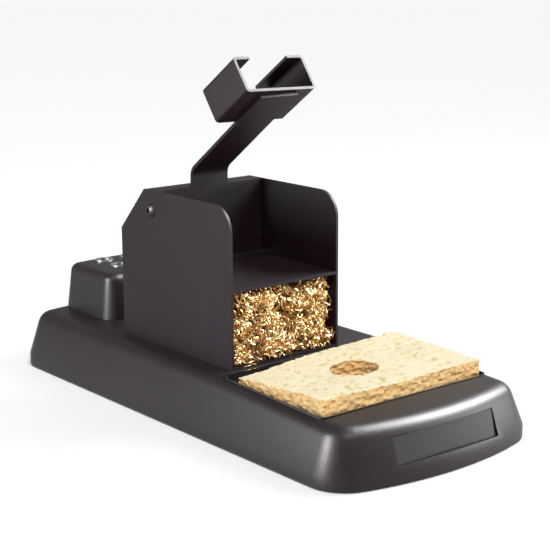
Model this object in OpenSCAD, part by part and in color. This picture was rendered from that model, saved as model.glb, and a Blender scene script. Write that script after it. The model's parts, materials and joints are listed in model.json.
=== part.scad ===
// Bench stand for a soldering iron: a moulded base with a sponge pan and a tip rack, a folded
// sheet tower packed with brass wool, and a tilting arm that carries the iron's cradle.
// X is the width, -Y the front with the name plate, +Z up. The origin is on the bench, under
// the middle of the base.

/* [Base moulding] */
// Width of the base
base_w = 112; // [104:1:135]
// Length of the base
base_l = 252; // [248:1:303]
// Height of the base's flat top over the bench
base_h = 27; // [24:0.5:33]
// How far the top falls from the tower to the front edge
front_drop = 2.8; // [0:0.2:4]
// How far the front edge bows out
front_bow = 10; // [6:0.5:13]
// How far the rear edge bows out
rear_bow = 6; // [3:0.5:9]
// Corner radius at the front
front_r = 17; // [13:0.5:22]
// Corner radius at the rear
rear_r = 14; // [12.5:0.5:18]
// Height of the upright band around the foot of the side
band_h = 6; // [5.5:0.5:8]
// Lean of the side above the band, in degrees
side_lean = 17; // [8:1:20]
// Radius where the side rolls over to the top
roll_r = 7; // [4:0.5:8]
// Wall of the moulding
shell_t = 3; // [2:0.25:3.5]
// Gap between the moulding's edge and the bench
foot_lift = 1; // [0.5:0.25:2]

/* [Tip rack] */
// Width of the raised rack at its foot
rack_w = 70; // [66:1:84]
// Height of the rack over the base's top
rack_h = 22; // [20:0.5:26]
// Distance from the tower's back to the rack
rack_gap = 20; // [14:0.5:24]
// Distance from the rack's back to the base's rear edge
rack_back = 7; // [6:0.5:10]
// Radius of the rack's upright corners
rack_r = 9; // [7:0.5:11]
// Columns of tip sockets
socket_cols = 3; // [2:1:3]
// Rows of tip sockets
socket_rows = 2; // [1:1:2]
// Distance between sockets
socket_pitch = 14.6; // [12:0.2:15]
// Distance from the rack's back to the rear row of sockets
socket_back = 12.2; // [11:0.2:14]
// Inside diameter of a socket
socket_d = 6.6; // [5:0.1:7]
// Wall of the steel liner in a socket
liner_t = 0.6; // [0.4:0.1:0.8]
// Depth of a socket
socket_depth = 16; // [12:0.5:18]

/* [Sponge and pan] */
// Space between the sponge and each side of the pan
sponge_side = 1; // [0.8:0.1:6]
// Length of the sponge from front to back
sponge_l = 54.5; // [45:0.5:60]
// Thickness of the sponge
sponge_t = 11; // [8:0.5:16]
// Diameter of the hole in the sponge
sponge_hole_d = 20; // [14:0.5:24]
// How far the sponge's hole lies left of its middle
hole_left = 4; // [0:0.5:8]
// Sheet of the pan
pan_t = 0.8; // [0.6:0.1:1]
// Depth of the pan
pan_depth = 6; // [4:0.5:8]
// Distance from the side of the base to the inside of the pan
pan_edge = 10; // [9.5:0.1:12]
// Inside length of the pan
pan_l = 64; // [62:1:67]
// Distance from the tower's front to the pan's inside
pan_gap = 3; // [2:0.5:6]

/* [Tower] */
// Width of the tower over its sides
tower_w = 60; // [50:1:72]
// Depth of the tower
tower_d = 83; // [76:1:90]
// Height of the tower
tower_h = 70.5; // [64:0.5:84]
// Sheet of the tower
sheet_t = 1.25; // [1:0.05:1.5]
// How far the tower stands left of the middle of the base
tower_left = 9; // [0:0.5:12]
// Distance from the front edge of the base to the tower
tower_front = 94.5; // [90:0.5:98]
// Length of the sloped corner at the top of each side
slope_y = 19.2; // [12:0.2:22]
// Height of that sloped corner
slope_z = 20.2; // [12:0.2:24]
// Radius of the upper front corner of each side
front_round = 11; // [6:0.5:14]
// Height of the shelf over the base's top
shelf_z = 35; // [28:0.5:38]
// Distance from the tower's front to the back panel
panel_y = 53; // [50:0.5:55]

/* [Tilting arm and cradle] */
// Width of the arm
arm_w = 20; // [16:0.2:26]
// Thickness of the arm
arm_t = 1.5; // [1.2:0.1:2]
// Height of the arm's bend over the base's top
bend_z = 78; // [75:0.5:92]
// Slope of the arm over the horizontal, in degrees
arm_slope = 36; // [25:1:50]
// Length of the sloped part
arm_run = 63; // [48:1:76]
// Outside width of the cradle
cradle_w = 39; // [33:0.5:47]
// Length of the cradle along the arm
cradle_l = 25; // [21:0.5:30]
// Depth of the cradle's sides
cradle_h = 17; // [12:0.5:20]
// Width of the cradle's inward lips
cradle_lip = 9; // [5:0.5:10]
// Turn of the cradle on its rivets, in degrees
cradle_turn = 3; // [0:1:6]
// Distance from the tower's front to the tilt screws
pivot_y = 58.25; // [56:0.25:59]
// Height of the tilt screws over the base's top
pivot_z = 61.5; // [52:0.5:63]
// Shank diameter of the tilt screws
pivot_d = 3.5; // [3:0.1:4]
// Running clearance around a tilt screw, on the radius
pivot_gap = 0.05; // [0.03:0.01:0.1]
// Thickness of the friction washers
washer_t = 0.6; // [0.5:0.1:0.8]

/* [Name plate] */
// Width of the plate
plate_w = 55.5; // [40:0.5:60]
// Height of the plate
plate_h = 11.2; // [8:0.2:13]
// Thickness of the plate
plate_t = 1; // [0.6:0.1:1.5]
// How far the plate's face lies behind the middle of the bowed front
plate_sunk = 3.6; // [1.5:0.1:4]

/* [Hidden] */
$fn = 48;
gap = 0.3;              // between soft or loose pieces and what is next to them
slice_t = 0.02;
roll_steps = 6;

tower_y = -base_l / 2 + tower_front;     // the tower's front edge
drop_slope = atan(front_drop / tower_front);
bow_front_r = (pow(base_w / 2, 2) + pow(front_bow, 2)) / (2 * front_bow);
bow_rear_r = (pow(base_w / 2, 2) + pow(rear_bow, 2)) / (2 * rear_bow);
small_r = 2.5;          // least corner radius of an inner outline
roll_z = base_h - roll_r + roll_r * sin(side_lean);
roll_in = (roll_z - band_h) * tan(side_lean) + roll_r * cos(side_lean);

function arc(c, r, a0, a1, n) = [for (i = [0:n]) let (a = a0 + (a1 - a0) * i / n)
    [c[0] + r * cos(a), c[1] + r * sin(a)]];

// Points from one bowed end of the base: the bow and the corner beside it, for the end that
// faces -Y. A mirror gives the rear end.
function bowed_end(inset, bow_r, corner) =
    let (w = base_w / 2 - inset,
         r = max(corner - inset, small_r),
         big = bow_r - inset,
         cy = -base_l / 2 + bow_r,
         lean = asin((w - r) / (big - r)),
         y = cy - (big - r) * cos(lean))
    concat(arc([0, cy], big, 270, 270 + lean, 8), arc([w - r, y], r, 270 + lean, 360, 7));

module base_outline(inset) {
    front = bowed_end(inset, bow_front_r, front_r);
    rear = bowed_end(inset, bow_rear_r, rear_r);
    half = concat(front, [for (i = [len(rear) - 1:-1:0]) [rear[i][0], -rear[i][1]]]);
    polygon(concat(half, [for (i = [len(half) - 2:-1:1]) [-half[i][0], half[i][1]]]));
}

// Height and inset of the rolled edge at step i, for a top at height h
function roll_angle(i) = side_lean + (90 - side_lean) * i / roll_steps;
function roll_at(h, i) = [roll_in - roll_r * cos(roll_angle(i)),
                          h - roll_r + roll_r * sin(roll_angle(i))];

// The base's solid form, shrunk by g on every side but the bottom, which is at height foot
module base_form(g, foot) {
    hull() {
        translate([0, 0, foot]) linear_extrude(band_h - foot) base_outline(g);
        for (i = [0:roll_steps]) {
            at_front = roll_at(base_h - front_drop, i);
            translate([0, 0, at_front[1] - slice_t - g])
                linear_extrude(slice_t) base_outline(at_front[0] + g);
            at_back = roll_at(base_h, i);
            translate([0, 0, at_back[1] - slice_t - g]) linear_extrude(slice_t)
                intersection() {
                    base_outline(at_back[0] + g);
                    translate([-base_w, tower_y]) square([2 * base_w, base_l]);
                }
        }
    }
}

rack_y0 = tower_y + tower_d + rack_gap;
rack_y1 = base_l / 2 - rack_back;
rack_lean = 0.14;       // the rack narrows by this share of its height on each side
rack_roll = 4;

// The rack's footprint at inset k: its rear edge keeps the base's rear bow
module rack_outline(k) {
    r = max(rack_r - k, small_r);
    w = rack_w / 2 - k;
    big = bow_rear_r - k;
    cy = rack_y1 - bow_rear_r;
    lean = asin((w - r) / (big - r));
    y = cy + (big - r) * cos(lean);
    half = concat(
        [[0, rack_y0 + k]],
        arc([w - r, rack_y0 + k + r], r, 270, 360, 7),
        arc([w - r, y], r, 0, 90 - lean, 7),
        arc([0, cy], big, 90 - lean, 90, 8));
    polygon(concat(half, [for (i = [len(half) - 2:-1:1]) [-half[i][0], half[i][1]]]));
}

module rack_form(g, foot) {
    top = base_h + rack_h - g;
    hull() {
        translate([0, 0, foot]) linear_extrude(slice_t) rack_outline(g);
        for (i = [0:4]) {
            a = 22.5 * i;
            translate([0, 0, top - rack_roll + rack_roll * sin(a) - slice_t])
                linear_extrude(slice_t)
                    rack_outline(g + rack_h * rack_lean + rack_roll * (1 - cos(a)));
        }
    }
}

socket_r = socket_d / 2;
liner_r = socket_r + liner_t;
socket_wall = 2;
module at_sockets() {
    for (i = [0:socket_cols - 1], j = [0:socket_rows - 1])
        translate([(i - (socket_cols - 1) / 2) * socket_pitch,
                   rack_y1 - socket_back - j * socket_pitch,
                   base_h + rack_h])
            children();
}

// Screw posts: one pair at each end and one pair beside the tower's back
post_r = 4.2;
post_hole_r = 1.3;
post_x = base_w / 2 - 16;
post_y = base_l / 2 - 17;
mid_post_x = base_w / 2 - 12;
mid_post_y = tower_y + tower_d + rack_gap / 2;
module at_end_posts() {
    for (x = [-1, 1], y = [-1, 1]) translate([x * post_x, y * post_y, 0]) children();
}
module at_mid_posts() {
    for (x = [-1, 1]) translate([x * mid_post_x, mid_post_y, 0]) children();
}

// Holes that hold the tower down
hold_x = tower_w / 2 - 12;
hold_y = [14, tower_d - 14];
hold_r = 2;
module at_hold_downs() {
    for (x = [-1, 1], y = hold_y)
        translate([x * hold_x - tower_left, tower_y + y, base_h]) children();
}

pan_mid_y = tower_y - pan_gap - pan_l / 2;
pan_r = 3;
pan_w = base_w - 2 * pan_edge;
sponge_w = pan_w - 2 * sponge_side;
pocket_r = pan_r + pan_t + gap;
pocket_w = pan_w + 2 * (pan_t + gap);
pocket_l = pan_l + 2 * (pan_t + gap);
// Puts children on the sloping top in front of the tower, with z = 0 on that surface
module on_slope() {
    translate([0, tower_y, base_h]) rotate([drop_slope, 0, 0]) translate([0, -tower_y, 0])
        children();
}

module round_plate(w, l, h, r) {
    linear_extrude(h) {
        square([w - 2 * r, l], center = true);
        square([w, l - 2 * r], center = true);
        for (x = [-1, 1], y = [-1, 1])
            translate([x * (w / 2 - r), y * (l / 2 - r)]) circle(r);
    }
}

floor_t = 2.5;
floor_z = 2.5;
post_z = floor_z + floor_t;

module base_shell() {
    color([0.23, 0.21, 0.21]) difference() {
        union() {
            difference() {
                union() {
                    base_form(0, foot_lift);
                    rack_form(0, base_h - roll_r);
                }
                base_form(shell_t, foot_lift - 1);
                rack_form(shell_t, base_h - roll_r - shell_t);
            }
            intersection() {
                base_form(shell_t / 2, foot_lift);
                union() {
                    at_end_posts() translate([0, 0, post_z]) cylinder(h = base_h, r = post_r);
                    at_mid_posts() translate([0, 0, post_z]) cylinder(h = base_h, r = post_r);
                }
            }
            intersection() {
                base_form(shell_t / 2, post_z);
                union() {
                    on_slope() translate([0, pan_mid_y, -pan_depth - shell_t])
                        round_plate(pocket_w + 2 * shell_t, pocket_l + 2 * shell_t,
                                    pan_depth, pocket_r + shell_t);
                    at_name_plate() translate([0, plate_t + shell_t, 0])
                        cube([plate_w + 2 * shell_t, 2 * shell_t, plate_h + 2 * shell_t],
                             center = true);
                }
            }
            at_sockets() translate([0, 0, -socket_depth - socket_wall])
                cylinder(h = socket_depth + socket_wall - 1, r = liner_r + socket_wall);
        }
        at_sockets() translate([0, 0, -socket_depth]) cylinder(h = socket_depth + 1, r = liner_r);
        at_end_posts() cylinder(h = base_h - 2 * shell_t, r = post_hole_r);
        at_mid_posts() cylinder(h = base_h - 2 * shell_t, r = post_hole_r);
        at_hold_downs() translate([0, 0, -2 * shell_t]) cylinder(h = 3 * shell_t, r = hold_r);
        on_slope() translate([0, pan_mid_y, -pan_depth])
            round_plate(pocket_w, pocket_l, 2 * pan_depth, pocket_r);
        at_name_plate() translate([0, plate_t - shell_t, 0])
            cube([plate_w + 2 * gap, 2 * shell_t, plate_h + 2 * gap], center = true);
    }
}

// Steel floor plate: closes the underside and weighs the stand down
module bottom_plate() {
    color([0.55, 0.56, 0.58]) difference() {
        translate([0, 0, floor_z]) linear_extrude(floor_t) base_outline(shell_t + gap);
        at_end_posts() cylinder(h = base_h, r = hold_r);
        at_mid_posts() cylinder(h = base_h, r = hold_r);
    }
}

foot_r = 7;
foot_recess = 1.6;
screw_r = 1.5;
thread_r = post_hole_r;
module rubber_feet() {
    color([0.12, 0.12, 0.12]) at_end_posts() difference() {
        cylinder(h = floor_z, r1 = foot_r - 0.6, r2 = foot_r);
        translate([0, 0, -1]) cylinder(h = foot_recess + 1, r = 3.4);
        translate([0, 0, -1]) cylinder(h = floor_z + 2, r = hold_r);
    }
}

// A self-tapping screw that points up, with its head's underside at z = 0
module tapping_screw(head_r, head_h, len, reach) {
    translate([0, 0, -head_h]) difference() {
        cylinder(h = head_h, r = head_r);
        for (a = [0, 90]) rotate(a)
            translate([-head_r * 0.5, -0.3, -1]) cube([head_r, 0.6, 1 + head_h * 0.5]);
    }
    cylinder(h = len, r = thread_r);
    cylinder(h = reach, r = screw_r);
}

tap_len = 10;
module foot_screws() {
    color([0.75, 0.75, 0.77]) at_end_posts() translate([0, 0, foot_recess])
        tapping_screw(2.9, 1.2, floor_z + tap_len, floor_z + floor_t - foot_recess);
}

module plate_screws() {
    color([0.75, 0.75, 0.77]) at_mid_posts() translate([0, 0, floor_z])
        tapping_screw(2.9, 1.4, floor_t + tap_len, floor_t);
}

// Steel liners pressed into the sockets, each with a rolled rim on the rack's top
press_gap = 0.05;
rim_w = 0.7;
rim_h = 0.5;
module tip_liners() {
    color([0.8, 0.8, 0.82]) at_sockets() difference() {
        union() {
            translate([0, 0, -socket_depth]) cylinder(h = socket_depth, r = liner_r - press_gap);
            cylinder(h = rim_h, r = liner_r + rim_w);
        }
        translate([0, 0, -socket_depth + liner_t]) cylinder(h = socket_depth + 1, r = socket_r);
    }
}

plate_mid_h = base_h - 14;       // height of the name plate's middle
plate_y = -base_l / 2 + (plate_mid_h - band_h) * tan(side_lean) + plate_sunk;
// Puts children in the plate's pocket, with y = 0 on the plate's face and +y going inward
module at_name_plate() {
    translate([0, plate_y, plate_mid_h]) rotate([-side_lean, 0, 0]) children();
}

// Blank plate in a flat pocket of the bowed front
module name_plate() {
    color([0.1, 0.1, 0.11]) at_name_plate() translate([0, plate_t / 2, 0])
        cube([plate_w, plate_t, plate_h], center = true);
}

// Drawn and enamelled pan that drops into the base's pocket
module sponge_pan() {
    color([0.06, 0.06, 0.065]) on_slope() translate([0, pan_mid_y, -pan_depth]) difference() {
        round_plate(pan_w + 2 * pan_t, pan_l + 2 * pan_t, pan_depth, pan_r + pan_t);
        translate([0, 0, pan_t]) round_plate(pan_w, pan_l, pan_depth, pan_r);
    }
}

sponge_front = 1.5;              // between the sponge and the pan's front wall
sponge_y = pan_mid_y - pan_l / 2 + sponge_front + sponge_l / 2;
module sponge() {
    color([0.97, 0.9, 0.7]) on_slope()
        translate([0, sponge_y, pan_t + gap - pan_depth]) difference() {
            translate([-sponge_w / 2, -sponge_l / 2, 0]) cube([sponge_w, sponge_l, sponge_t]);
            translate([-hole_left, 0, -1]) cylinder(h = sponge_t + 2, d = sponge_hole_d);
        }
}

// Puts children in the tower's frame: its middle, its front edge and the base's top
module in_tower() {
    translate([-tower_left, tower_y, base_h]) children();
}

foot_round = 3;
// Outline of one side of the tower, with x to the rear and y up
module side_outline() {
    polygon(concat(
        [[0, 0]],
        arc([tower_d - foot_round, foot_round], foot_round, 270, 360, 6),
        [[tower_d, tower_h - slope_z], [tower_d - slope_y, tower_h]],
        arc([front_round, tower_h - front_round], front_round, 90, 180, 10)));
}

// Lays an outline drawn with x to the rear and y up into a sheet t thick, starting at x0
module upright_sheet(x0, t) {
    translate([x0, 0, 0]) rotate([90, 0, 90]) linear_extrude(t) children();
}

module tower_body() {
    color([0.2, 0.17, 0.19]) in_tower() difference() {
        union() {
            upright_sheet(-tower_w / 2, sheet_t) side_outline();
            upright_sheet(tower_w / 2 - sheet_t, sheet_t) side_outline();
            translate([-tower_w / 2, 0, 0])
                cube([tower_w, tower_d - foot_round, sheet_t]);
        }
        translate([-tower_w, pivot_y, pivot_z]) rotate([0, 90, 0])
            cylinder(h = 2 * tower_w, r = pivot_d / 2 + pivot_gap);
        for (x = [-1, 1], y = hold_y)
            translate([x * hold_x, y, -1]) cylinder(h = sheet_t + 2, r = hold_r);
    }
}

inner_w = tower_w - 2 * sheet_t;
// Shelf over the wool, folded down behind it to the floor
module wool_shelf() {
    color([0.2, 0.17, 0.19]) in_tower() {
        translate([-inner_w / 2, 0, shelf_z - sheet_t])
            cube([inner_w, panel_y, sheet_t]);
        translate([-inner_w / 2, panel_y - sheet_t, sheet_t])
            cube([inner_w, sheet_t, shelf_z - 2 * sheet_t]);
    }
}

hold_head_r = 3.6;
hold_head_h = 2;
hold_nut_r = 4;
hold_nut_h = 3;
hold_len = sheet_t + shell_t + hold_nut_h + 2;
module tower_screws() {
    color([0.72, 0.72, 0.74]) at_hold_downs() {
        translate([0, 0, sheet_t]) difference() {
            cylinder(h = hold_head_h, r = hold_head_r);
            for (a = [0, 90]) rotate(a)
                translate([-1.8, -0.35, hold_head_h * 0.5]) cube([3.6, 0.7, hold_head_h]);
        }
        translate([0, 0, sheet_t - hold_len]) cylinder(h = hold_len, r = hold_r - 0.1);
    }
}

module tower_nuts() {
    color([0.72, 0.72, 0.74]) at_hold_downs() translate([0, 0, -shell_t - hold_nut_h])
        difference() {
            cylinder(h = hold_nut_h, r = hold_nut_r, $fn = 6);
            translate([0, 0, -1]) cylinder(h = hold_nut_h + 2, r = hold_r - 0.1);
        }
}

wool_z = sheet_t + hold_head_h + 2 * gap;
wool_side = 1.2;
wool_r = 5;
// Pad of brass wool, a rounded block that fills the room under the shelf
module brass_wool() {
    w = inner_w - 2 * gap;
    d = panel_y - sheet_t - 2 * gap;
    h = shelf_z - sheet_t - gap - wool_z;
    color([0.8, 0.6, 0.3]) in_tower() translate([-w / 2, gap, wool_z]) hull() {
        translate([0, wool_r, 0]) cube([w, d - wool_r, h]);
        for (x = [wool_side + wool_r, w - wool_side - wool_r], z = [wool_r, h - wool_r])
            translate([x, wool_r, z]) rotate([90, 0, 0])
                cylinder(h = wool_r - 1, r = wool_r, $fn = 32);
    }
}

panel_w = inner_w - 2 * washer_t;
panel_foot = shelf_z + 1.5;      // leaves room for the panel's lower edge to swing
flange_y = 10.5;
notch = 0.4;
// Back panel with its top and sides folded to the rear
module back_panel() {
    color([0.2, 0.17, 0.19]) in_tower() difference() {
        union() {
            translate([-panel_w / 2, panel_y, panel_foot])
                cube([panel_w, sheet_t, tower_h - panel_foot]);
            translate([-panel_w / 2, panel_y, tower_h - sheet_t])
                cube([panel_w, flange_y, sheet_t]);
            for (x = [-panel_w / 2, panel_w / 2 - sheet_t])
                translate([x, panel_y, panel_foot])
                    cube([sheet_t, flange_y, tower_h - panel_foot]);
        }
        translate([-arm_w / 2 - notch, panel_y + sheet_t, tower_h - 2 * sheet_t])
            cube([arm_w + 2 * notch, arm_t + notch, 3 * sheet_t]);
        translate([-tower_w, pivot_y, pivot_z]) rotate([0, 90, 0])
            cylinder(h = 2 * tower_w, r = pivot_d / 2 + pivot_gap);
        for (z = rivet_z) translate([0, panel_y - 1, z]) rotate([-90, 0, 0])
            cylinder(h = sheet_t + 2, r = rivet_r);
    }
}

arm_foot = 42;                   // lower end of the arm behind the panel
arm_y = panel_y + sheet_t;       // front face of the arm's upright part
bend_r = 6;                      // radius of the bend at the middle of the sheet
bend_turn = 90 - arm_slope;
bend_c = [arm_y + arm_t / 2 - bend_r, bend_z - bend_r * tan(bend_turn / 2)];
rivet_r = 1.6;
rivet_z = [arm_foot + 6, arm_foot + 18];
function bend_at(r, a) = [bend_c[0] + r * cos(a), bend_c[1] + r * sin(a)];
function up_slope(p, s) = [p[0] - s * cos(arm_slope), p[1] + s * sin(arm_slope)];
run_left = arm_run - bend_r * tan(bend_turn / 2);
bend_out = bend_r + arm_t / 2;
bend_in = bend_r - arm_t / 2;

// Carries children to the sloped arm: z = 0 on its upper face, +y down the slope
module on_arm(s) {
    p = up_slope(bend_at(bend_out, bend_turn), s);
    translate([0, p[0], p[1]]) rotate([-arm_slope, 0, 0]) children();
}

cradle_mid = run_left + 2.5 - cradle_l / 2;
cradle_rivets_at = [-6, 6];
module arm_strip() {
    color([0.2, 0.17, 0.19]) in_tower() difference() {
        upright_sheet(-arm_w / 2, arm_w) polygon(concat(
            [[arm_y, arm_foot], [arm_y + arm_t, arm_foot]],
            [for (i = [0:8]) bend_at(bend_out, bend_turn * i / 8)],
            [up_slope(bend_at(bend_out, bend_turn), run_left),
             up_slope(bend_at(bend_in, bend_turn), run_left)],
            [for (i = [8:-1:0]) bend_at(bend_in, bend_turn * i / 8)]));
        for (z = rivet_z) translate([0, arm_y - 1, z]) rotate([-90, 0, 0])
            cylinder(h = arm_t + 2, r = rivet_r);
        on_arm(cradle_mid) for (y = cradle_rivets_at)
            translate([0, y, -arm_t - 1]) cylinder(h = arm_t + 2, r = rivet_r);
    }
}

rivet_head_r = 3;
rivet_head_h = 1.1;
// A rivet with its shank flush at z = 0 and its domed head above, over a stack h thick
module rivet(h) {
    cylinder(h = h, r = rivet_r);
    cap_r = (pow(rivet_head_r, 2) + pow(rivet_head_h, 2)) / (2 * rivet_head_h);
    translate([0, 0, h]) intersection() {
        translate([0, 0, rivet_head_h - cap_r]) sphere(cap_r, $fn = 64);
        cylinder(h = rivet_head_h, r = rivet_head_r);
    }
}

module arm_rivets() {
    color([0.24, 0.21, 0.23]) in_tower() for (z = rivet_z)
        translate([0, panel_y, z]) rotate([-90, 0, 0]) rivet(sheet_t + arm_t);
}

fold_r = 1.8;
module round_rect(w, h, r) {
    translate([r, 0]) square([w - 2 * r, h]);
    translate([0, r]) square([w, h - 2 * r]);
    for (x = [r, w - r], y = [r, h - r]) translate([x, y]) circle(r);
}

// Open channel with inward lips that the iron's handle rests in
module cradle() {
    slot = cradle_w - 2 * cradle_lip;
    in_r = fold_r - sheet_t + 0.2;
    color([0.2, 0.17, 0.19]) in_tower() on_arm(cradle_mid) rotate(cradle_turn) difference() {
        translate([-cradle_w / 2, cradle_l / 2, 0]) rotate([90, 0, 0])
            linear_extrude(cradle_l) difference() {
                round_rect(cradle_w, cradle_h, fold_r);
                translate([sheet_t, sheet_t])
                    round_rect(cradle_w - 2 * sheet_t, cradle_h - 2 * sheet_t, in_r);
                translate([cradle_lip, cradle_h / 2]) square([slot, cradle_h]);
            }
        rotate(-cradle_turn) for (y = cradle_rivets_at)
            translate([0, y, -1]) cylinder(h = sheet_t + 2, r = rivet_r);
    }
}

module cradle_rivets() {
    color([0.24, 0.21, 0.23]) in_tower() on_arm(cradle_mid) for (y = cradle_rivets_at)
        translate([0, y, -arm_t]) rivet(sheet_t + arm_t);
}

// Puts children at each tilt screw, with +z pointing out of the tower and z = 0 on the side
module at_pivots() {
    in_tower() for (s = [-1, 1])
        translate([s * tower_w / 2, pivot_y, pivot_z]) rotate([0, s * 90, 0]) children();
}

nut_h = 2.6;
lock_t = 0.8;
tilt_stack = sheet_t + washer_t + sheet_t;
button_r = 3.3;
button_h = 1.9;
module tilt_screws() {
    len = tilt_stack + gap + lock_t + nut_h + 1;
    cap_r = (pow(button_r, 2) + pow(button_h, 2)) / (2 * button_h);
    color([0.22, 0.2, 0.21]) at_pivots() {
        translate([0, 0, -len]) cylinder(h = len, r = pivot_d / 2);
        difference() {
            intersection() {
                translate([0, 0, button_h - cap_r]) sphere(cap_r, $fn = 64);
                cylinder(h = button_h, r = button_r);
            }
            translate([0, 0, 0.8]) cylinder(h = button_h, r = 1.25, $fn = 6);
        }
    }
}

module tilt_washers() {
    color([0.85, 0.85, 0.8]) at_pivots() translate([0, 0, -sheet_t - washer_t]) difference() {
        cylinder(h = washer_t, r = 4);
        translate([0, 0, -1]) cylinder(h = washer_t + 2, r = pivot_d / 2 + pivot_gap);
    }
}

module tilt_lock_washers() {
    color([0.72, 0.72, 0.74]) at_pivots() translate([0, 0, -tilt_stack - gap - lock_t])
        difference() {
            cylinder(h = lock_t, r = 3.4);
            translate([0, 0, -1]) cylinder(h = lock_t + 2, r = pivot_d / 2 + pivot_gap);
        }
}

module tilt_nuts() {
    color([0.72, 0.72, 0.74]) at_pivots()
        translate([0, 0, -tilt_stack - gap - lock_t - nut_h]) difference() {
            cylinder(h = nut_h, r = 3.6, $fn = 6);
            translate([0, 0, -1]) cylinder(h = nut_h + 2, r = pivot_d / 2);
        }
}

base_shell();
bottom_plate();
rubber_feet();
foot_screws();
plate_screws();
name_plate();
tip_liners();
sponge_pan();
sponge();
tower_body();
wool_shelf();
tower_screws();
tower_nuts();
brass_wool();
back_panel();
arm_strip();
arm_rivets();
cradle();
cradle_rivets();
tilt_screws();
tilt_washers();
tilt_lock_washers();
tilt_nuts();
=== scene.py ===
import bpy
import bmesh
import json
import math
import random
import numpy as np
from mathutils import Vector, Matrix
from mathutils.kdtree import KDTree


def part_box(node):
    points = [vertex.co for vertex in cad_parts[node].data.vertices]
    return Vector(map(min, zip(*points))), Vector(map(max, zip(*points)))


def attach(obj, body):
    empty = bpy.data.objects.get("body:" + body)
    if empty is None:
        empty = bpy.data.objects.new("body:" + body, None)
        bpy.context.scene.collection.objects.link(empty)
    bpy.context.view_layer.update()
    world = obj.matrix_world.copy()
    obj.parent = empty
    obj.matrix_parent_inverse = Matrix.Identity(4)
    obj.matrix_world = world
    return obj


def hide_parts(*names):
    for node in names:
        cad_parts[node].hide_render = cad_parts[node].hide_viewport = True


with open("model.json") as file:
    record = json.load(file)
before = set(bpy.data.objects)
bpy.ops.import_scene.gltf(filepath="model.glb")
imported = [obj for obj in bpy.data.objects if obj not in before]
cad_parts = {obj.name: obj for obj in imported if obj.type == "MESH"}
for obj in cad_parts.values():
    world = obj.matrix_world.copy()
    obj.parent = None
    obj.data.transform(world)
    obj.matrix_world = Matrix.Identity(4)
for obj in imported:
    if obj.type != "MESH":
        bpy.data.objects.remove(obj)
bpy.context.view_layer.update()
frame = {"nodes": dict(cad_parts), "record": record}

nodes = frame["nodes"]
print("frame loaded:", len(nodes), "nodes")


# a shader socket that can be used in plain arithmetic
class Sock:
    def __init__(self, mat, out):
        self.mat = mat
        self.out = out

    def math(self, op, a, b=0.0, clamp=False):
        return self.mat.node("ShaderNodeMath", {"operation": op, "use_clamp": clamp}, {0: a, 1: b})

    def __add__(self, o):
        return self.math("ADD", self, o)

    def __radd__(self, o):
        return self.math("ADD", o, self)

    def __sub__(self, o):
        return self.math("SUBTRACT", self, o)

    def __rsub__(self, o):
        return self.math("SUBTRACT", o, self)

    def __mul__(self, o):
        return self.math("MULTIPLY", self, o)

    def __rmul__(self, o):
        return self.math("MULTIPLY", o, self)

    def above(self, edge, soft):
        # 0 below edge, 1 above it, with a ramp of width soft
        return self.math("MULTIPLY", self - edge, 1.0 / soft, clamp=True)

    def limit(self):
        return self.math("MULTIPLY", self, 1.0, clamp=True)


# one material, built from node calls
class Finish:
    def __init__(self, name):
        self.mat = bpy.data.materials.new(name)
        self.mat.use_nodes = True
        self.tree = self.mat.node_tree
        self.tree.nodes.clear()
        self.surface = self.tree.nodes.new("ShaderNodeBsdfPrincipled")
        self.end = self.tree.nodes.new("ShaderNodeOutputMaterial")
        self.tree.links.new(self.surface.outputs[0], self.end.inputs["Surface"])
        self.place = self.node("ShaderNodeTexCoord", {}, {}, "Object")

    def plug(self, sock, value):
        if isinstance(value, Sock):
            self.tree.links.new(value.out, sock)
        elif hasattr(sock.default_value, "__len__"):
            have = len(sock.default_value)
            given = list(value) if hasattr(value, "__len__") else [value] * have
            sock.default_value = (given + [1.0])[:have]
        else:
            sock.default_value = value

    def node(self, kind, settings, values, out=0):
        made = self.tree.nodes.new(kind)
        for key, value in settings.items():
            setattr(made, key, value)
        for key, value in values.items():
            self.plug(made.inputs[key], value)
        return Sock(self, made.outputs[out])

    def noise(self, scale, detail=3.0, rough=0.55, at=None):
        return self.node("ShaderNodeTexNoise", {}, {"Vector": at or self.place, "Scale": scale,
                                                    "Detail": detail, "Roughness": rough}, 0)

    def stretch(self, x, y, z):
        return self.node("ShaderNodeVectorMath", {"operation": "MULTIPLY"},
                         {0: self.place, 1: (x, y, z)})

    def blend(self, share, a, b):
        # sockets 0, 6, 7 and output 2 are a Mix node's factor and colours
        return self.node("ShaderNodeMix", {"data_type": "RGBA"}, {0: share, 6: a, 7: b}, 2)

    def attribute(self, name):
        return self.node("ShaderNodeAttribute", {"attribute_name": name}, {}, 2)

    def bump(self, height, strength, distance):
        return self.node("ShaderNodeBump", {}, {"Height": height, "Strength": strength,
                                                "Distance": distance})

    def set(self, **values):
        for key, value in values.items():
            self.plug(self.surface.inputs[key.replace("_", " ")], value)
        return self


basePlastic = {"dark": (0.0140, 0.0090, 0.0092), "light": (0.0225, 0.0146, 0.0149),
               "dust": (0.07, 0.065, 0.064), "dustShare": 0.2, "grain": 1500.0,
               "grainHeight": 0.00010, "rough": 0.34, "shine": 0.19}


def makeBasePlastic():
    f = Finish("moulded_charcoal")
    v = basePlastic
    cloud = f.noise(16.0, 4.0)
    grain = f.noise(v["grain"], 2.0, 0.6)
    dust = f.noise(420.0, 3.0, 0.7).above(0.62, 0.12)
    colour = f.blend(cloud * 0.7 + grain * 0.3, v["dark"], v["light"])
    colour = f.blend(dust * v["dustShare"], colour, v["dust"])
    f.set(Base_Color=colour, Roughness=v["rough"] + cloud * 0.10 + grain * 0.08,
          Normal=f.bump(grain, 0.55, v["grainHeight"]))
    f.set(Specular_IOR_Level=v["shine"])
    return f.mat


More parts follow.
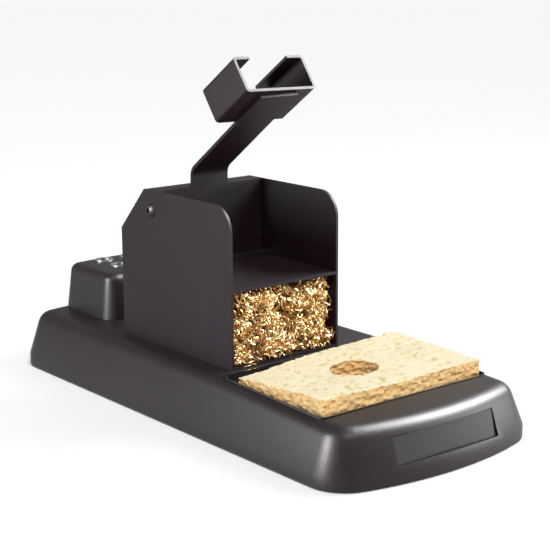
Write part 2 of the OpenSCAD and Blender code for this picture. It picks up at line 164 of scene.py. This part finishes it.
blackPaint = {"dark": (0.0112, 0.0046, 0.0080), "light": (0.0190, 0.0086, 0.0138), "rough": 0.46,
              "worn": (0.05, 0.043, 0.047), "wornShare": 0.3, "peel": 900.0, "shine": 0.13}


def makeBlackPaint():
    f = Finish("satin_black_coat")
    v = blackPaint
    cloud = f.noise(22.0, 3.0)
    peel = f.noise(v["peel"], 2.0, 0.5)
    rub = f.noise(90.0, 5.0, 0.7).above(0.66, 0.1)
    colour = f.blend(cloud, v["dark"], v["light"])
    colour = f.blend(rub * v["wornShare"], colour, v["worn"])
    f.set(Base_Color=colour, Roughness=v["rough"] + cloud * 0.12 + rub * 0.08,
          Normal=f.bump(peel, 0.3, 0.00006))
    f.set(Specular_IOR_Level=v["shine"])
    return f.mat


def makeMetal(name, colour, rough, stretch, scratch=0.35):
    f = Finish(name)
    lines = f.noise(60.0, 4.0, 0.7, at=f.stretch(*stretch))
    cloud = f.noise(35.0, 3.0)
    dull = tuple(c * 0.72 for c in colour)
    f.set(Base_Color=f.blend(lines * 0.6 + cloud * 0.4, colour, dull),
          Roughness=rough + lines * 0.15 + cloud * 0.08,
          Normal=f.bump(lines, scratch, 0.00003), Metallic=1.0)
    return f.mat


rubber = {"black": (0.012, 0.012, 0.012), "bloom": (0.035, 0.034, 0.033), "rough": 0.72}


def makeRubber():
    f = Finish("foot_rubber")
    v = rubber
    grain = f.noise(1200.0, 3.0, 0.7)
    bloom = f.noise(70.0, 3.0).above(0.55, 0.3)
    f.set(Base_Color=f.blend(bloom * 0.6, v["black"], v["bloom"]),
          Roughness=v["rough"] + grain * 0.15, Normal=f.bump(grain, 0.5, 0.00008))
    return f.mat


plateGloss = {"dark": (0.007, 0.007, 0.0085), "light": (0.014, 0.0135, 0.016),
              "speck": (0.05, 0.05, 0.05), "rough": 0.26, "shine": 0.16}


def makeNamePlate():
    f = Finish("gloss_black_plate")
    v = plateGloss
    haze = f.noise(40.0, 4.0)
    specks = f.noise(900.0, 2.0).above(0.68, 0.05)
    colour = f.blend(haze * 0.5, v["dark"], v["light"])
    f.set(Base_Color=f.blend(specks * 0.3, colour, v["speck"]),
          Roughness=v["rough"] + haze * 0.1 + specks * 0.2, Normal=f.bump(haze, 0.05, 0.0001))
    f.set(Specular_IOR_Level=v["shine"])
    return f.mat


panEnamel = {"dark": (0.010, 0.010, 0.012), "light": (0.018, 0.017, 0.02),
             "lime": (0.16, 0.15, 0.13), "limeShare": 0.25, "rough": 0.18}


def makePanEnamel():
    f = Finish("pan_enamel")
    v = panEnamel
    cloud = f.noise(30.0, 4.0)
    lime = f.noise(120.0, 5.0, 0.7).above(0.6, 0.15)
    colour = f.blend(cloud, v["dark"], v["light"])
    f.set(Base_Color=f.blend(lime * v["limeShare"], colour, v["lime"]),
          Roughness=v["rough"] + cloud * 0.08 + lime * 0.3, Normal=f.bump(cloud, 0.1, 0.0002))
    return f.mat


nylon = {"dark": (0.62, 0.6, 0.52), "light": (0.74, 0.73, 0.66), "rough": 0.42}


def makeNylon():
    f = Finish("nylon_washer")
    v = nylon
    cloud = f.noise(300.0, 3.0)
    f.set(Base_Color=f.blend(cloud, v["dark"], v["light"]),
          Roughness=v["rough"] + cloud * 0.1, Normal=f.bump(cloud, 0.2, 0.00005))
    return f.mat


# the two pore colours, on the skin and on the cut sides, are painted shade for the bottoms of
# pores and the slit
spongeLook = {"cream": (0.88, 0.76, 0.48), "pale": (0.93, 0.84, 0.59), "tan": (0.93, 0.62, 0.26),
              "poreShadeSkin": (0.55, 0.47, 0.13), "deep": (0.80, 0.43, 0.13),
              "skinFleck": (0.76, 0.62, 0.33), "cutPale": (0.98, 0.80, 0.42), "glow": 0.18}


def makeSponge():
    f = Finish("cellulose_sponge")
    v = spongeLook
    # this attribute carries painted shade for the bottoms of pores and the slit
    pit = f.attribute("pit")       # 0 on the skin, 1 at the bottom of a pore
    cut = f.attribute("cut")       # 1 on cut sides and the hole's wall
    cloud = f.noise(55.0, 4.0)
    fine = f.noise(900.0, 3.0, 0.6)
    skin = f.blend(cloud.above(0.3, 0.4), v["pale"], v["cream"])
    skin = f.blend(fine.above(0.5, 0.3) * 0.35, skin, v["skinFleck"])
    side = f.blend(fine.above(0.35, 0.35), v["cutPale"], v["tan"])
    colour = f.blend(cut, skin, side)
    # pores and the slit are darkened towards their bottoms: painted shade, olive on the skin and
    # deep orange on the cut sides
    poreShade = f.blend(cut, v["poreShadeSkin"], v["deep"])
    colour = f.blend((pit * 0.95).limit(), colour, poreShade)
    f.set(Base_Color=colour, Roughness=0.9, Normal=f.bump(fine, 0.6, 0.0003))
    f.set(Subsurface_Weight=v["glow"], Subsurface_Scale=0.002, Subsurface_Radius=(1.0, 0.6, 0.3))
    f.set(Specular_IOR_Level=0.2)
    return f.mat


# the two gap colours are painted shadow for the gaps inside the pad
woolLook = {"pale": (0.80, 0.60, 0.32), "gold": (0.52, 0.30, 0.10), "copper": (0.27, 0.09, 0.025),
            "rough": 0.33, "gapShadowDark": (0.02, 0.008, 0.003), "gapShadowLight": (0.12, 0.05, 0.015)}


def makeWool():
    f = Finish("brass_shavings")
    v = woolLook
    tint = f.attribute("tint")
    fleck = f.noise(700.0, 3.0, 0.6)
    colour = f.blend(tint, v["pale"], v["gold"])
    colour = f.blend(fleck.above(0.52, 0.2) * 0.6, colour, v["copper"])
    f.set(Base_Color=colour, Roughness=v["rough"] + fleck * 0.2, Metallic=0.85,
          Normal=f.bump(fleck, 0.4, 0.0001))
    return f.mat


# painted shadow for the dark gaps deep inside the pad, mottled by noise
def makeWoolGapShadow():
    f = Finish("wool_gap_shadow")
    v = woolLook
    fleck = f.noise(500.0, 4.0, 0.7)
    f.set(Base_Color=f.blend(fleck.above(0.45, 0.2), v["gapShadowDark"], v["gapShadowLight"]),
          Roughness=0.8 + fleck * 0.1, Normal=f.bump(fleck, 1.0, 0.0008))
    return f.mat


finishes = {
    "base_plastic": makeBasePlastic(),
    "black_paint": makeBlackPaint(),
    "floor_steel": makeMetal("zinc_floor", (0.56, 0.57, 0.60), 0.34, (1.0, 14.0, 14.0)),
    "zinc_steel": makeMetal("zinc_screw", (0.66, 0.66, 0.68), 0.26, (1.0, 1.0, 6.0), 0.2),
    "bright_steel": makeMetal("bright_liner", (0.33, 0.325, 0.33), 0.24, (1.0, 1.0, 8.0), 0.15),
    "pan_black": makePanEnamel(),
    "black_steel": makeMetal("black_oxide", (0.035, 0.031, 0.034), 0.34, (4.0, 1.0, 1.0), 0.2),
    "foot_rubber": makeRubber(),
    "plate_gloss": makeNamePlate(),
    "washer_nylon": makeNylon(),
    "sponge_cellulose": makeSponge(),
    "wool_brass": makeWool(),
}
print("finishes made:", len(finishes))

for part in frame["record"]["subparts"]:
    obj = nodes[part["node"]]
    finish = finishes[part["material_slot"]]
    obj.data.materials.clear()
    obj.data.materials.append(finish)
print("finishes put on the CAD nodes")


smoothBelow = 24.0      # degrees between two faces that still shade as one surface
weldReach = 0.000004    # joins the doubled points along the seams of a face


def makeShadingNodes():
    # shades smooth across shallow edges and keeps the sharp ones crisp
    tree = bpy.data.node_groups.new("shade_by_angle", "GeometryNodeTree")
    tree.interface.new_socket("Geometry", in_out="INPUT", socket_type="NodeSocketGeometry")
    tree.interface.new_socket("Geometry", in_out="OUTPUT", socket_type="NodeSocketGeometry")
    enter = tree.nodes.new("NodeGroupInput")
    leave = tree.nodes.new("NodeGroupOutput")
    angle = tree.nodes.new("GeometryNodeInputMeshEdgeAngle")
    sharp = tree.nodes.new("FunctionNodeCompare")
    sharp.data_type = "FLOAT"
    sharp.operation = "GREATER_THAN"
    sharp.inputs[1].default_value = math.radians(smoothBelow)
    normals = tree.nodes.new("GeometryNodeSetMeshNormal")
    normals.inputs["Remove Custom"].default_value = True
    tree.links.new(angle.outputs[0], sharp.inputs[0])
    tree.links.new(sharp.outputs[0], normals.inputs["Edge Sharpness"])
    tree.links.new(enter.outputs[0], normals.inputs["Mesh"])
    tree.links.new(normals.outputs[0], leave.inputs[0])
    return tree


shadingNodes = makeShadingNodes()


for name in ("tower_body", "wool_shelf", "back_panel", "arm_strip", "cradle", "name_plate",
             "sponge_pan", "base_shell", "tip_liners", "rubber_feet", "bottom_plate",
             "arm_rivets", "cradle_rivets", "tilt_screws"):
    weld = nodes[name].modifiers.new("weld", "WELD")
    weld.merge_threshold = weldReach
    nodes[name].modifiers.new("shading", "NODES").node_group = shadingNodes
print("faces shaded")


def meshPiece(name, verts, faces, finish, attributes=None):
    mesh = bpy.data.meshes.new(name)
    mesh.from_pydata([tuple(p) for p in verts], [], [tuple(q) for q in faces])
    for key, values in (attributes or {}).items():
        layer = mesh.attributes.new(key, "FLOAT", "POINT")
        layer.data.foreach_set("value", np.asarray(values, dtype=np.float32))
    mesh.materials.append(finish)
    mesh.polygons.foreach_set("use_smooth", [True] * len(mesh.polygons))
    mesh.update()
    obj = bpy.data.objects.new(name, mesh)
    bpy.context.scene.collection.objects.link(obj)
    return obj


spongeForm = {"cell": 0.00042, "cornerDip": 0.0045, "slitAt": 0.235, "slitEnds": (0.10, 0.83),
              "slitHalf": 0.0006, "slitDepth": 0.0009, "wave": (0.00025, 0.0002),
              "wander": (0.0003, 0.0004), "seed": 11}
# count, least radius, spread of radii, its power, depth, longest stretch, least share of painted
# pore shade
spongePores = {"skin": (760, 0.00045, 0.0012, 4, 0.7, 1.6, 0.45),
               "cut": (6500, 0.0004, 0.0008, 3, 0.3, 0.7, 0.4)}


def makeSpongePiece():
    v = spongeForm
    low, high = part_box("sponge")
    rnd = random.Random(v["seed"])
    src = nodes["sponge"]
    mesh = src.data.copy()
    obj = bpy.data.objects.new("sponge_body", mesh)
    bpy.context.scene.collection.objects.link(obj)
    obj.matrix_world = src.matrix_world.copy()
    remesh = obj.modifiers.new("even", "REMESH")
    remesh.mode = "VOXEL"
    remesh.voxel_size = v["cell"]
    smooth = obj.modifiers.new("soft", "SMOOTH")
    smooth.factor = 0.5
    smooth.iterations = 3
    bpy.context.view_layer.update()
    deps = bpy.context.evaluated_depsgraph_get()
    made = bpy.data.meshes.new_from_object(obj.evaluated_get(deps))
    made.transform(obj.matrix_world)
    obj.modifiers.clear()
    obj.matrix_world = Matrix.Identity(4)
    obj.data = made
    count = len(made.vertices)
    pts = np.empty(count * 3)
    made.vertices.foreach_get("co", pts)
    pts = pts.reshape(-1, 3)
    nrm = np.empty(count * 3)
    made.vertices.foreach_get("normal", nrm)
    nrm = nrm.reshape(-1, 3)
    cut = np.clip((0.75 - np.abs(nrm[:, 2])) / 0.3, 0.0, 1.0)

    tree = KDTree(count)
    for i, p in enumerate(pts):
        tree.insert(p, i)
    tree.balance()
    pit = np.zeros(count)
    skin = np.nonzero((nrm[:, 2] > 0.9) | (nrm[:, 2] < -0.9))[0]
    sides = np.nonzero(cut > 0.7)[0]

    def dig(centre, normal, radius, depth, stretchBy, turn, share):
        # one pore: an oval pit pressed in along the skin, its bottom marked for painted shade
        side = Vector((math.cos(turn), math.sin(turn), 0.0))
        side = (side - normal * side.dot(normal)).normalized()
        for co, index, dist in tree.find_range(centre, radius * stretchBy):
            d = Vector(co) - centre
            along = d.dot(side) / stretchBy
            across = (d - side * d.dot(side)).length
            k = (along * along + across * across) / (radius * radius)
            if k < 1.0:
                w = (1.0 - k) ** 0.7
                pts[index] -= np.array(normal) * depth * w
                # the pore's bottom is marked for painted shade
                pit[index] = max(pit[index], w * share)

    start = pts.copy()
    for kind, spots in (("skin", skin), ("cut", sides)):
        number, least, spread, power, deep, longest, share = spongePores[kind]
        for n in range(number):
            i = int(spots[rnd.randrange(len(spots))])
            r = least + spread * rnd.random() ** power
            dig(Vector(start[i]), Vector(nrm[i]), r, r * deep, 1.0 + longest * rnd.random(),
                rnd.uniform(0, math.pi), share + 0.5 * rnd.random())

    # the warp of a dried sponge: its rear left corner dips
    size = [high[i] - low[i] for i in range(3)]
    sx = (pts[:, 0] - low[0]) / size[0]
    sy = (pts[:, 1] - low[1]) / size[1]
    top = np.clip((pts[:, 2] - low[2]) / size[2], 0.0, 1.0)
    dip = np.clip(1.0 - np.hypot(sx / 0.95, (1.0 - sy) / 1.0), 0.0, 1.0) ** 1.1
    pts[:, 2] -= v["cornerDip"] * dip * top
    # a shallow slit runs front to back beside the hole
    off = (sx - v["slitAt"] - 0.008 * np.sin(sy * 17.0)) * size[0] / v["slitHalf"]
    slit = np.exp(-off * off) * (top > 0.9) * (sy > v["slitEnds"][0]) * (sy < v["slitEnds"][1])
    slit *= 0.55 + 0.45 * np.sin(sy * 90.0)
    pts[:, 2] -= v["slitDepth"] * slit
    # the slit gets painted shade too
    pit = np.maximum(pit, 0.75 * slit)
    wave = np.sin(sx * 9.0 + sy * 4.0) * v["wave"][0]
    wave += np.sin(sy * 11.0 - sx * 3.0) * v["wave"][1]
    pts[:, 2] += wave * top
    pts[:, 0] += np.sin(sy * 7.0 + 0.6) * v["wander"][0] * (1 - 2 * sx)
    pts[:, 1] += np.sin(sx * 8.0 + 1.1) * v["wander"][1] * (1 - 2 * sy)

    made.vertices.foreach_set("co", pts.ravel())
    # the first attribute holds the painted shade of pores and the slit
    for key, values in (("pit", pit), ("cut", cut)):
        layer = made.attributes.new(key, "FLOAT", "POINT")
        layer.data.foreach_set("value", values.astype(np.float32))
    made.materials.clear()
    made.materials.append(finishes["sponge_cellulose"])
    made.polygons.foreach_set("use_smooth", [True] * len(made.polygons))
    made.update()
    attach(obj, "wiping_sponge")
    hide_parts("sponge")
    return obj


sponge = makeSpongePiece()
print("sponge made:", len(sponge.data.vertices), "points")


woolForm = {"frontCurls": 760, "bodyCurls": 330, "ribbon": 0.00036, "coil": (0.0009, 0.0024),
            "turns": (1.6, 5.0), "stepsPerTurn": 15, "seed": 5, "overhang": 0.0026, "sag": 0.0034,
            "pitch": (0.0009, 0.0022), "widths": (0.7, 1.7), "swell": 0.35, "wobble": 0.0012,
            "twist": 0.45, "margin": 0.0001, "mounds": 26, "moundSize": (0.10, 0.24),
            "relief": 0.0060, "heartFill": (0.93, 0.84, 0.93), "heartAt": (0.5, 0.56, 0.49),
            "heartCuts": 24}


def makeWoolPiece():
    v = woolForm
    low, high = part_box("brass_wool")
    low, high = Vector(low), Vector(high)
    low -= Vector((0.0, v["overhang"], v["sag"]))
    size = high - low
    rnd = random.Random(v["seed"])
    verts, faces, tint = [], [], []

    def curl(centre, axis, radius, pitch, turns, width, shade):
        # one helical ribbon, kept inside the pad's box
        axis = axis.normalized()
        u = axis.orthogonal().normalized()
        w = axis.cross(u)
        steps = int(turns * v["stepsPerTurn"])
        phase = rnd.uniform(0, 2 * math.pi)
        wob = [rnd.uniform(0, 2 * math.pi) for _ in range(3)]
        first = len(verts)
        for s in range(steps + 1):
            t = s / v["stepsPerTurn"]
            a = phase + t * 2 * math.pi
            grow = radius * (1.0 + v["swell"] * math.sin(t * 1.7 + wob[0]))
            mid = centre + axis * ((t - turns / 2) * pitch)
            mid = mid + u * (v["wobble"] * math.sin(t * 1.3 + wob[1])) \
                + w * (v["wobble"] * math.sin(t * 1.1 + wob[2]))
            out = u * math.cos(a) + w * math.sin(a)
            p = mid + out * grow
            lean = v["twist"] * math.sin(t * 2.1 + wob[1])
            lay = (axis + out * lean).normalized() * (width / 2)
            for q in (p - lay, p + lay):
                verts.append([min(max(q[i], low[i] + v["margin"]), high[i] - v["margin"])
                              for i in range(3)])
                tint.append(shade)
        for s in range(steps):
            a = first + 2 * s
            faces.append((a, a + 1, a + 3, a + 2))

    def randomAxis():
        return Vector((rnd.gauss(0, 1), rnd.gauss(0, 1), rnd.gauss(0, 1)))

    def curlAt(centre, scale=1.0):
        radius = rnd.uniform(*v["coil"]) * scale
        curl(centre, randomAxis(), radius, rnd.uniform(*v["pitch"]), rnd.uniform(*v["turns"]),
             v["ribbon"] * rnd.uniform(*v["widths"]), rnd.random() ** 1.3)

    # lumpy front: curls sit on a cloud of soft mounds
    mounds = [(rnd.uniform(0, 1), rnd.uniform(0, 1), rnd.uniform(*v["moundSize"]))
              for _ in range(v["mounds"])]

    def frontDepth(a, b):
        rise = max(math.exp(-((a - x) ** 2 + (b - z) ** 2) / (r * r)) for x, z, r in mounds)
        edge = min(1.0, (1.0 - a) / 0.10 + 0.1) * min(1.0, a / 0.05 + 0.5)
        topEdge = min(1.0, (1.0 - b) / 0.10 + 0.55)
        return v["relief"] * (1.0 - rise * edge * topEdge) * min(1.0, 0.25 + b * 1.6)

    for n in range(v["frontCurls"]):
        a, b = rnd.random(), rnd.random()
        if a > 0.93 and b > 0.72 and rnd.random() < 0.8:
            continue                       # the pad's far top corner is rounded off
        deep = frontDepth(a, b) + 0.0022 + rnd.random() ** 2 * 0.005
        curlAt(Vector((low.x + 0.0015 + a * (size.x - 0.003), low.y + deep,
                       low.z + 0.0015 + b * (size.z - 0.003))), 0.9)
    for n in range(v["bodyCurls"]):
        p = [rnd.random(), 0.12 + 0.88 * rnd.random(), rnd.random()]
        axis = rnd.choice((0, 2))
        p[axis] = rnd.choice((0.03, 0.97))
        curlAt(Vector([low[i] + 0.001 + p[i] * (size[i] - 0.002) for i in range(3)]), 1.2)

    obj = meshPiece("brass_wool_curls", verts, faces, finishes["wool_brass"], {"tint": tint})

    # dark heart that fills the gaps between the curls: painted shadow in place of the shade deep
    # inside the pad
    heart = bmesh.new()
    bmesh.ops.create_cube(heart, size=1.0)
    for vert in heart.verts:
        vert.co = Vector([low[i] + size[i] * (v["heartAt"][i] + vert.co[i] * v["heartFill"][i])
                          for i in range(3)])
    bmesh.ops.subdivide_edges(heart, edges=heart.edges[:], cuts=v["heartCuts"], use_grid_fill=True)
    for vert in heart.verts:
        a = (vert.co.x - low.x) / size.x
        b = (vert.co.z - low.z) / size.z
        if vert.co.y < low.y + size.y * 0.2:
            vert.co.y += frontDepth(a, b) * 0.7 + 0.0006 * math.sin(a * 71) * math.sin(b * 43)
    mesh = bpy.data.meshes.new("brass_wool_shadow_core")
    heart.to_mesh(mesh)
    heart.free()
    mesh.materials.append(makeWoolGapShadow())
    core = bpy.data.objects.new("brass_wool_shadow_core", mesh)
    bpy.context.scene.collection.objects.link(core)
    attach(obj, "wool_pad")
    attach(core, "wool_pad")
    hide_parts("brass_wool")
    return obj


wool = makeWoolPiece()
print("brass wool made:", len(wool.data.polygons), "faces")


studio = {"floorColour": (0.98, 0.98, 0.98), "floorPatch": (0.99, 0.99, 0.99),
          "floorHalf": 6.0, "world": 0.42, "sunPower": 2.2, "sunSpread": 0.35,
          "sunFrom": (-0.30, -0.78, 1.10), "cornerPower": 34.0, "crestPower": 62.0,
          "frontPower": 8.0}


def makeFloor():
    f = Finish("pale_floor")
    cloud = f.noise(3.0, 2.0)
    f.set(Base_Color=f.blend(cloud, studio["floorColour"], studio["floorPatch"]), Roughness=0.85)
    mesh = bpy.data.meshes.new("floor")
    s = studio["floorHalf"]
    mesh.from_pydata([(-s, -s, 0), (s, -s, 0), (s, s, 0), (-s, s, 0)], [], [(0, 1, 2, 3)])
    mesh.materials.append(f.mat)
    obj = bpy.data.objects.new("floor", mesh)
    bpy.context.scene.collection.objects.link(obj)


def makeLight(name, place, aim, size, power):
    data = bpy.data.lights.new(name, "AREA")
    data.shape = "RECTANGLE"
    data.size, data.size_y = size
    data.energy = power
    obj = bpy.data.objects.new(name, data)
    obj.location = place
    obj.rotation_euler = (Vector(aim) - Vector(place)).to_track_quat("-Z", "Y").to_euler()
    # the boxes only draw highlights; the sun and the sky light the surfaces
    obj.visible_diffuse = False
    bpy.context.scene.collection.objects.link(obj)


makeFloor()
world = bpy.data.worlds.new("studio")
world.use_nodes = True
world.node_tree.nodes["Background"].inputs[0].default_value = (1.0, 1.0, 1.0, 1.0)
world.node_tree.nodes["Background"].inputs[1].default_value = studio["world"]
bpy.context.scene.world = world
sun = bpy.data.lights.new("sun", "SUN")
sun.energy = studio["sunPower"]
sun.angle = studio["sunSpread"]
sunAt = bpy.data.objects.new("sun", sun)
sunAt.rotation_euler = Vector(studio["sunFrom"]).to_track_quat("Z", "Y").to_euler()
bpy.context.scene.collection.objects.link(sunAt)
makeLight("corner_strip", (-0.84, 0.12, 0.27), (0.0, -0.11, 0.02), (0.11, 0.34),
          studio["cornerPower"])
makeLight("crest_box", (0.58, -0.26, 0.62), (0.0, -0.11, 0.02), (0.46, 0.46),
          studio["crestPower"])
makeLight("front_box", (0.80, -0.60, 0.14), (0.0, -0.12, 0.02), (0.36, 0.22),
          studio["frontPower"])
bpy.context.scene.view_settings.view_transform = "Standard"

# heading is measured from +Y towards +X, pitch is downwards
cameraAim = {"place": (-0.39213, -0.49984, 0.20355), "heading": 0.68119, "pitch": 0.21980,
             "roll": -0.00544, "lens": 93.99, "shift": (-0.00861, -0.01552),
             "sensor": 36.0, "nearest": 0.01}


def makeCamera():
    v = cameraAim
    h, p, r = v["heading"], v["pitch"], v["roll"]
    ahead = Vector((math.sin(h) * math.cos(p), math.cos(h) * math.cos(p), -math.sin(p)))
    right = Vector((math.cos(h), -math.sin(h), 0.0))
    up = right.cross(ahead)
    x = right * math.cos(r) + up * math.sin(r)
    y = up * math.cos(r) - right * math.sin(r)
    turn = Matrix((x, y, -ahead)).transposed()
    data = bpy.data.cameras.new("camera")
    data.lens = v["lens"]
    data.sensor_width = v["sensor"]
    data.shift_x, data.shift_y = v["shift"]
    data.clip_start = v["nearest"]
    obj = bpy.data.objects.new("camera", data)
    obj.matrix_world = Matrix.Translation(Vector(v["place"])) @ turn.to_4x4()
    bpy.context.scene.collection.objects.link(obj)
    bpy.context.scene.camera = obj


makeCamera()
print("floor, lights and camera placed")
